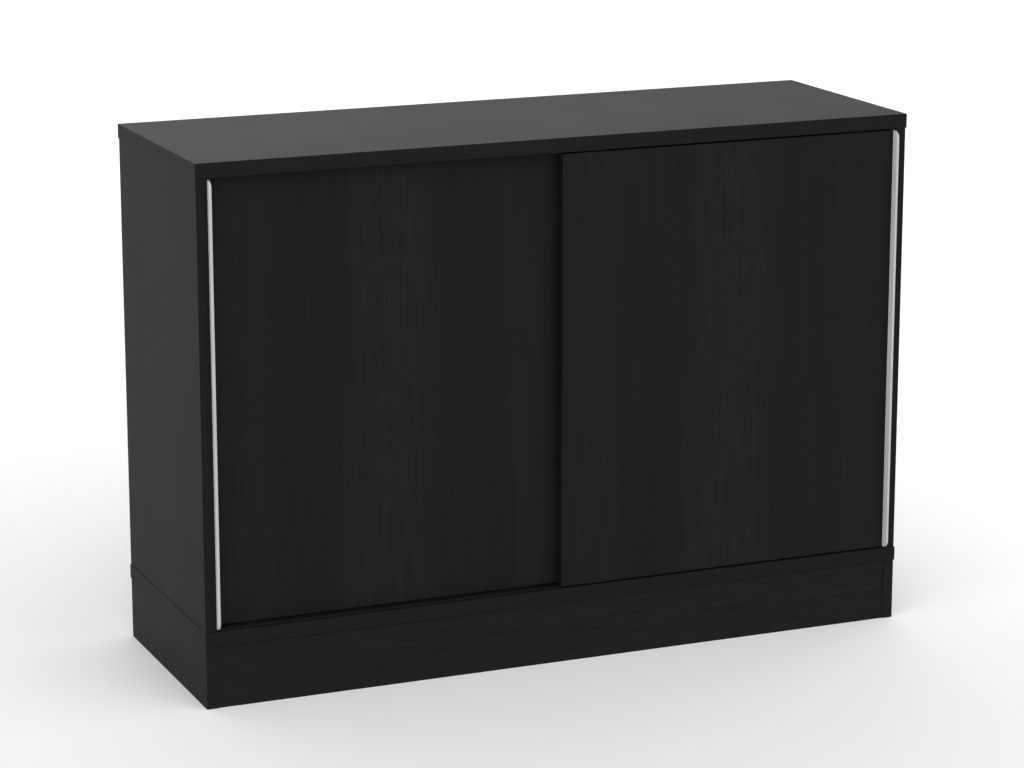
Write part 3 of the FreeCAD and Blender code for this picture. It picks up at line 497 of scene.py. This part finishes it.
def ease_arrises(names, width):
    """Round the sharp edges of some nodes a little, by modifiers that leave the node's mesh as it is."""
    for name in names:
        weld = NODES[name].modifiers.new("weld", "WELD")
        weld.merge_threshold = 0.01 * MM
        bevel = NODES[name].modifiers.new("ease", "BEVEL")
        bevel.width = width
        bevel.segments = 2
        bevel.limit_method = "ANGLE"
        bevel.angle_limit = math.radians(40)
        bevel.use_clamp_overlap = True


def dress_boards():
    """The boards in laminate and their edging: upright grain on doors, sides, partition and back, and grain
    along the length of the others. Blocks and dowels stay bare wood."""
    for door in DOORS:
        leaf, band = f"{door}_panel", f"{door}_edge_band"
        cover([leaf], laminate(f"{door}_laminate", [leaf, band], "Z", "Y", figure=1.0, seed=0.0))
        cover([band], edging(f"{door}_edging", "Z", "Y"))
    for panel, seed in (("top_panel", 1.0), ("bottom_panel", 2.0)):
        band = f"{panel}_edge_band"
        cover([panel], laminate(f"{panel}_laminate", [panel, band], "X", "Z", figure=0.9, seed=seed))
        cover([band], edging(f"{panel}_edging", "X", "Y"))
    for name, along, through, figure, seed in (
        ("left_side_panel", "Z", "X", 0.8, 3.0), ("right_side_panel", "Z", "X", 0.8, 4.0),
        ("centre_partition", "Z", "X", 0.4, 6.0), ("back_panel", "Z", "Y", 0.5, 7.0),
        ("left_shelf", "X", "Z", 0.5, 8.0), ("right_shelf", "X", "Z", 0.5, 9.0),
        ("plinth_front", "X", "Y", 0.6, 10.0), ("plinth_back", "X", "Y", 0.6, 11.0),
        ("plinth_left", "Y", "X", 0.5, 12.0), ("plinth_right", "Y", "X", 0.5, 13.0),
    ):
        cover([name], laminate(f"{name}_laminate", [name], along, through, figure, seed))
    cover(["side_edge_bands", "partition_edge_band"], edging("upright_edging", "Z", "Y"))
    cover(["shelf_edge_bands"], edging("shelf_edging", "X", "Y"))
    cover(["plinth_blocks", "plinth_brace"], bare_wood("sawn_spruce", *SPRUCE))
    cover(["partition_dowels"], bare_wood("turned_beech", *BEECH))


def dress_fittings():
    """Metal, plastic and rubber on the fittings that keep their own shape."""
    corners = [f"{door}_{side}" for door in DOORS for side in SIDES]
    cases = [f"{corner}_{piece}_case" for corner in corners for piece in ("roller", "guide")]
    guides = [f"{corner}_top_guide" for corner in corners]
    tracks = [f"{level}_{line}_track" for level in ("lower", "upper") for line in ("front", "rear")]
    handles = [f"{door}_handle" for door in DOORS]
    for door, handle in zip(DOORS, handles):
        cover([handle], bar_aluminium(f"{door}_satin_anodised_aluminium", handle))
    zinc = brushed_metal(
        "zinc_plate", (0.42, 0.43, 0.45, 1), (0.62, 0.63, 0.65, 1), rough=0.26, fineness=700.0
    )
    cover(["shelf_pins", "cam_bolts"] + [f"{door}_roller_axles" for door in DOORS], zinc)
    cover(cases, plastic("black_moulding", grey(0.010), grey(0.020), rough=0.42))
    cover(tracks, plastic("track_moulding", grey(0.0075), grey(0.0120), rough=0.5, level=0.05))
    cover(guides, plastic("guide_moulding", grey(0.002), grey(0.005), rough=0.45, level=0.05))
    rubber = plastic(
        "black_rubber", grey(0.010), (0.022, 0.022, 0.021, 1), rough=0.75, level=0.25, depth=0.05 * MM
    )
    cover(["door_stops"], rubber)
    ease_arrises(cases + guides + ["shelf_pins"] + handles, width=0.35 * MM)


# ---------------------------------------------------------------- small hardware

SMOOTH_UNDER = math.radians(35)
SMALL_SCREW = {"head_radius": 3.3 * MM, "head_height": 1.4 * MM, "shank_radius": 1.75 * MM, "pitch": 1.6 * MM}
BASE_SCREW = {"head_radius": 4.8 * MM, "head_height": 3.4 * MM, "shank_radius": 3.0 * MM, "pitch": 3.0 * MM}
ROLLER_BORE = 2.05 * MM
ROLLER_RIBS = 6


def full_turn(around):
    """Angles evenly spaced round a full turn."""
    return np.linspace(0, 2 * np.pi, around, endpoint=False)


def grid_mesh(points, closed_ends=True):
    """Vertices and quads of a tube given as rings of points, an array rings x around x 3.

    The rings join round; the first and last are closed by a fan to their own middle."""
    rings, around, _ = points.shape
    vertices = points.reshape(-1, 3)
    ring, step = np.meshgrid(np.arange(rings - 1), np.arange(around), indexing="ij")
    here, beside = ring * around + step, ring * around + (step + 1) % around
    quads = np.stack([here, beside, beside + around, here + around], axis=-1).reshape(-1, 4)
    faces = [tuple(quad) for quad in quads.tolist()]
    if closed_ends:
        first, last = len(vertices), len(vertices) + 1
        vertices = np.vstack([vertices, points[0].mean(axis=0), points[-1].mean(axis=0)])
        base = (rings - 1) * around
        faces += [(first, (i + 1) % around, i) for i in range(around)]
        faces += [(last, base + i, base + (i + 1) % around) for i in range(around)]
    return vertices, faces


def build_piece(name, parts, body, replaced, material):
    """One object from several (vertices, faces) parts, in place, riding on a body in place of a node."""
    vertices, faces, start = [], [], 0
    for points, polygons in parts:
        vertices.append(points)
        faces += [tuple(index + start for index in polygon) for polygon in polygons]
        start += len(points)
    mesh = bpy.data.meshes.new(name)
    mesh.from_pydata(np.vstack(vertices).tolist(), [], faces)
    mesh.shade_smooth()
    mesh.set_sharp_from_angle(angle=SMOOTH_UNDER)
    mesh.materials.append(material)
    mesh.validate()
    piece = bpy.data.objects.new(name, mesh)
    bpy.context.scene.collection.objects.link(piece)
    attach(piece, body)
    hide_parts(replaced)


def turn_to(points, direction, at):
    """Points made along +Z, turned so that +Z lies along direction, then moved to at."""
    turn = np.array(Vector((0, 0, 1)).rotation_difference(Vector(direction)).to_matrix())
    return points @ turn.T + np.array(at)


def islands(name):
    """The boxes of a node's separate solids, each a lowest and a highest corner."""
    mesh = NODES[name].data
    points = np.empty(len(mesh.vertices) * 3)
    mesh.vertices.foreach_get("co", points)
    points = points.reshape(-1, 3)
    keys, number = np.unique(np.round(points / (0.01 * MM)).astype(int), axis=0, return_inverse=True)
    number = number.ravel()
    owner = np.arange(len(keys))
    loops = np.empty(len(mesh.loops), int)
    mesh.loops.foreach_get("vertex_index", loops)
    triangles = number[loops.reshape(-1, 3)]
    while True:
        least = owner[triangles].min(axis=1)
        joined = owner.copy()
        np.minimum.at(joined, triangles.ravel(), np.repeat(least, 3))
        joined = joined[joined]
        if (joined == owner).all():
            break
        owner = joined
    tags = owner[number]
    return [(points[tags == tag].min(axis=0), points[tags == tag].max(axis=0)) for tag in np.unique(tags)]


def screw(length, head_radius, head_height, shank_radius, pitch):
    """A screw along -Z with its head's face at z = 0.

    Its rings follow a profile: face, rim, underside, then the shank. On the face the level sinks by a cross:
    the depth grows where the smaller of |x| and |y| is under the slot's half width, and fades at its end.
    On the shank a ridge winds with the pitch: radius + ridge (max(0, cos(turn - 2 pi z / pitch))^3 - 1/2)."""
    around, first_ring, face_rings, rings_to_a_pitch = 32, 0.04, 12, 5
    slot_half, slot_end, slot_fade = head_radius * 0.17, head_radius * 0.62, head_radius * 0.15
    slot_depth, slot_flank = head_height * 0.75, 1.6
    ridge, point_radius = 0.16 * shank_radius, shank_radius * 0.3
    turn = full_turn(around)
    face = np.linspace(first_ring, 1, face_rings) * head_radius
    thread = np.arange(-head_height, -length, -pitch / rings_to_a_pitch)
    radius = np.concatenate([face, [head_radius], np.full(len(thread), shank_radius), [point_radius]])
    level = np.concatenate([np.zeros(face_rings), [-head_height * 0.5], thread, [-length]])
    r, z = np.repeat(radius[:, None], around, 1), np.repeat(level[:, None], around, 1)
    x, y = r * np.cos(turn), r * np.sin(turn)
    across, reach = np.minimum(abs(x), abs(y)), np.hypot(x, y)
    sink = np.clip(slot_flank - across / slot_half, 0, 1) * np.clip((slot_end - reach) / slot_fade, 0, 1)
    z[:face_rings] -= slot_depth * sink[:face_rings]
    shank = slice(face_rings + 1, -1)
    wind = np.cos(turn[None, :] - 2 * np.pi * z[shank] / pitch)
    r[shank] += ridge * np.clip(wind, 0, 1) ** 3 - ridge / 2
    points = np.stack([r * np.cos(turn), r * np.sin(turn), z], axis=-1)
    return grid_mesh(points[::-1])


def cross_screws(node, axis, side, size):
    """A screw for each solid of a node. It lies along axis 0, 1 or 2, with its head at the side +1 or -1."""
    parts = []
    direction = np.zeros(3)
    direction[axis] = side
    for low, high in islands(node):
        head = (low + high) / 2
        head[axis] = high[axis] if side > 0 else low[axis]
        points, faces = screw(high[axis] - low[axis], **size)
        parts.append((turn_to(points, direction, head), faces))
    return parts


def dress_screws(zinc, black):
    """Cross-headed screws in place of the plain ones: handles, moulded cases and the carcass's base."""
    for door, outward in zip(DOORS, (1, -1)):
        node = f"{door}_handle_screws"
        parts = cross_screws(node, 0, outward, SMALL_SCREW)
        build_piece(f"{door}_handle_cross_screws", parts, door, node, zinc)
        node = f"{door}_fitting_screws"
        parts = cross_screws(node, 1, 1, SMALL_SCREW)
        build_piece(f"{door}_fitting_cross_screws", parts, door, node, black)
    parts = cross_screws("carcass_screws", 2, -1, BASE_SCREW)
    build_piece("base_cross_screws", parts, "carcass", "carcass_screws", zinc)


def roller_wheel(radius, half_width):
    """A roller about Y: rings of radius and height from the bore, over the hub and web to the crowned rim.

    The web is sunk between six ribs: level = web + rise max(0, cos(6 turn))^4."""
    around, crown_rings, crown_share = 96, 9, 0.9
    foot_level, web_level, web_ring, rib_rise = 0.55, 0.5, 3, 0.35
    turn = full_turn(around)
    hub, inner, rim, edge = ROLLER_BORE + 2.2 * MM, ROLLER_BORE + 2.9 * MM, radius - 2.6 * MM, 0.5 * MM
    crown = np.linspace(-1, 1, crown_rings)
    side_radius = np.array([ROLLER_BORE, hub, inner, (inner + rim) / 2, rim - edge, rim, radius - edge])
    side_level = half_width * np.array([1, 1, foot_level, web_level, foot_level, 1, 1])
    rim_radius = radius - edge * crown ** 2
    radii = np.concatenate([side_radius, rim_radius[1:-1], side_radius[::-1]])
    levels = np.concatenate([side_level, -crown[1:-1] * half_width * crown_share, -side_level[::-1]])
    on_web = np.zeros(len(radii))
    on_web[[web_ring, -1 - web_ring]] = 1
    rib = np.clip(np.cos(ROLLER_RIBS * turn), 0, 1) ** 4
    r = np.repeat(radii[:, None], around, 1)
    rise = on_web[:, None] * rib[None, :] * np.sign(levels)[:, None] * half_width * rib_rise
    level = levels[:, None] + rise
    points = np.stack([r * np.cos(turn), level, r * np.sin(turn)], axis=-1)
    return grid_mesh(np.concatenate([points, points[:1]]), closed_ends=False)


def dress_rollers(nylon):
    """Crowned and ribbed rollers in place of the plain ones."""
    for door in DOORS:
        for side in SIDES:
            name = f"{door}_{side}_roller"
            low, high = (np.array(corner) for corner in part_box(name))
            vertices, faces = roller_wheel((high[2] - low[2]) / 2, (high[1] - low[1]) / 2)
            build_piece(f"{name}_wheel", [(vertices + (low + high) / 2, faces)], name, name, nylon)


def cam_face(radius, height):
    """A cam lock along +Z, its face at z = 0: a raised rim, a sunken face, and a cross slot sunk deeper.

    Level is -0.4 mm inside the rim, and up to 2 mm less where the smaller of |x| and |y| is under the slot's
    half width, fading at the slot's end."""
    around, face_rings = 64, 16
    first_ring, face_edge, rim_edge, eased_edge = 0.03, 0.86, 0.88, 0.97
    sunken, slot_depth, rounding = 0.4 * MM, 2.0 * MM, 0.3 * MM
    slot_half, slot_end, slot_fade, slot_flank = 0.13 * radius, 0.62 * radius, 0.1 * radius, 1.7
    turn = full_turn(around)
    face = np.linspace(first_ring, face_edge, face_rings)
    radii = radius * np.concatenate([face, [rim_edge, eased_edge, 1, 1, eased_edge]])
    levels = np.concatenate([np.full(face_rings, -sunken), [0, 0, -rounding, -height + rounding, -height]])
    r, z = np.repeat(radii[:, None], around, 1), np.repeat(levels[:, None], around, 1)
    x, y = r * np.cos(turn), r * np.sin(turn)
    across, reach = np.minimum(abs(x), abs(y)), np.hypot(x, y)
    sink = np.clip(slot_flank - across / slot_half, 0, 1) * np.clip((slot_end - reach) / slot_fade, 0, 1)
    z[:face_rings] -= slot_depth * sink[:face_rings]
    return grid_mesh(np.stack([x, y, z], axis=-1)[::-1])


def dress_cams(zinc):
    """Round cam locks with a cross slot, flush in the side panels."""
    parts = []
    for low, high in islands("cam_locks"):
        middle, inward = (low + high) / 2, 1 if high[0] < 0 else -1
        face = high[0] if inward > 0 else low[0]
        points, faces = cam_face((high[2] - low[2]) / 2, high[0] - low[0])
        parts.append((turn_to(points, (inward, 0, 0), (face, middle[1], middle[2])), faces))
    build_piece("cam_lock_discs", parts, "carcass", "cam_locks", zinc)


def dress_hardware():
    """The small hardware with its metals and its nylon."""
    zinc = brushed_metal(
        "bright_zinc", (0.46, 0.47, 0.49, 1), (0.66, 0.67, 0.69, 1), rough=0.24, fineness=900.0
    )
    black_zinc = brushed_metal(
        "black_zinc", (0.035, 0.035, 0.037, 1), (0.07, 0.07, 0.072, 1), rough=0.32, fineness=900.0
    )
    nylon = plastic("black_nylon", grey(0.006), grey(0.012), rough=0.36, level=0.3, depth=0.01 * MM)
    dress_screws(zinc, black_zinc)
    dress_cams(zinc)
    dress_rollers(nylon)


# ---------------------------------------------------------------- floor, lights, camera

FLOOR_RADIUS = 60
FLOOR_MIDDLE = 0.05
FLOOR_DROP = 0.05 * MM
FLOOR_TONES = (grey(0.80), grey(0.83))


def make_floor():
    """A large pale disc with very slight mottling, a hair below the cabinet's base."""
    around, rings = 96, 24
    turn = full_turn(around)
    radius = FLOOR_MIDDLE + FLOOR_RADIUS * np.linspace(0, 1, rings)[:, None] ** 2
    points = np.stack(
        [radius * np.cos(turn), radius * np.sin(turn), np.zeros((rings, around))], axis=-1
    )
    vertices, faces = grid_mesh(points, closed_ends=False)
    faces.append(tuple(range(around)))
    mesh = bpy.data.meshes.new("studio_floor")
    mesh.from_pydata(vertices.tolist(), [], faces)
    floor = bpy.data.objects.new("studio_floor", mesh)
    floor.location = (0, 0, CAD_BOX[0][2] - FLOOR_DROP)
    bpy.context.scene.collection.objects.link(floor)
    material, shader, place = new_material("pale_floor")
    colour = shader.mix(shader.noise(place, 1.3, 3.0), *FLOOR_TONES)
    finish_surface(shader, {"Base Color": colour, "Roughness": 0.75, "Specular IOR Level": 0.2})
    mesh.materials.append(material)


def soft_box(name, at, aim, size, watts):
    """A rectangular softbox light at a point, facing another."""
    data = bpy.data.lights.new(name, "AREA")
    data.shape = "RECTANGLE"
    data.size, data.size_y = size
    data.energy = watts
    light = bpy.data.objects.new(name, data)
    light.location = at
    light.rotation_euler = (Vector(aim) - Vector(at)).to_track_quat("-Z", "Y").to_euler()
    bpy.context.scene.collection.objects.link(light)


def light_studio():
    """A pale room, brightest at the front wall, with soft boxes at the right and over the floor far behind.

    The room's strength in direction (x, y, z) is the sum over its four walls of the wall's brightness times
    max(0, t) to the power of its spread. Toward the front, back, left and right t is -y, y, -x and x."""
    scene = bpy.context.scene
    scene.view_settings.view_transform = "Standard"
    world = bpy.data.worlds.new("studio")
    world.use_nodes = True
    room = Shader(world.node_tree)
    x, y, _ = room.split(room.node("ShaderNodeTexCoord").outputs["Generated"])
    strength = 0.0
    for wall, axis, sign, brightness, spread in (
        ("front", y, -1, 2.83, 1.0), ("back", y, 1, 1.60, 3.0),
        ("left", x, -1, 1.14, 1.0), ("right", x, 1, 0.22, 1.0),
    ):
        toward = room.math("POWER", room.math("MAXIMUM", room.math("MULTIPLY", axis, sign), 0.0), spread)
        toward.node.label = f"toward the {wall} wall"
        strength = room.math("MULTIPLY_ADD", toward, brightness, strength)
    background = world.node_tree.nodes["Background"]
    background.inputs["Color"].default_value = grey(1.0)
    room.feed(background.inputs["Strength"], strength)
    scene.world = world
    soft_box("right", at=(3.0, 0.3, 3.2), aim=(0, 0, 0.2), size=(2.5, 3.0), watts=30)
    soft_box("far_floor", at=(-0.4, 7.4, 4.5), aim=(-0.8, 6.9, 0), size=(15.0, 6.0), watts=280)


def make_camera(azimuth, elevation, aim, distance, lens):
    """A camera round the cabinet: azimuth and elevation in degrees, aimed at a point."""
    a, e = math.radians(azimuth), math.radians(elevation)
    back = Vector((math.sin(a) * math.cos(e), -math.cos(a) * math.cos(e), math.sin(e)))
    data = bpy.data.cameras.new("camera")
    data.lens, data.sensor_width = lens, 36
    data.clip_end = 200
    camera = bpy.data.objects.new("camera", data)
    camera.location = Vector(aim) + back * distance
    camera.rotation_euler = (-back).to_track_quat("-Z", "Y").to_euler()
    bpy.context.scene.collection.objects.link(camera)
    bpy.context.scene.camera = camera


dress_boards()
dress_fittings()
dress_hardware()
make_floor()
light_studio()
make_camera(azimuth=-22.98, elevation=13.74, aim=(0.0, 0.016, 0.410), distance=5.403, lens=116.3)
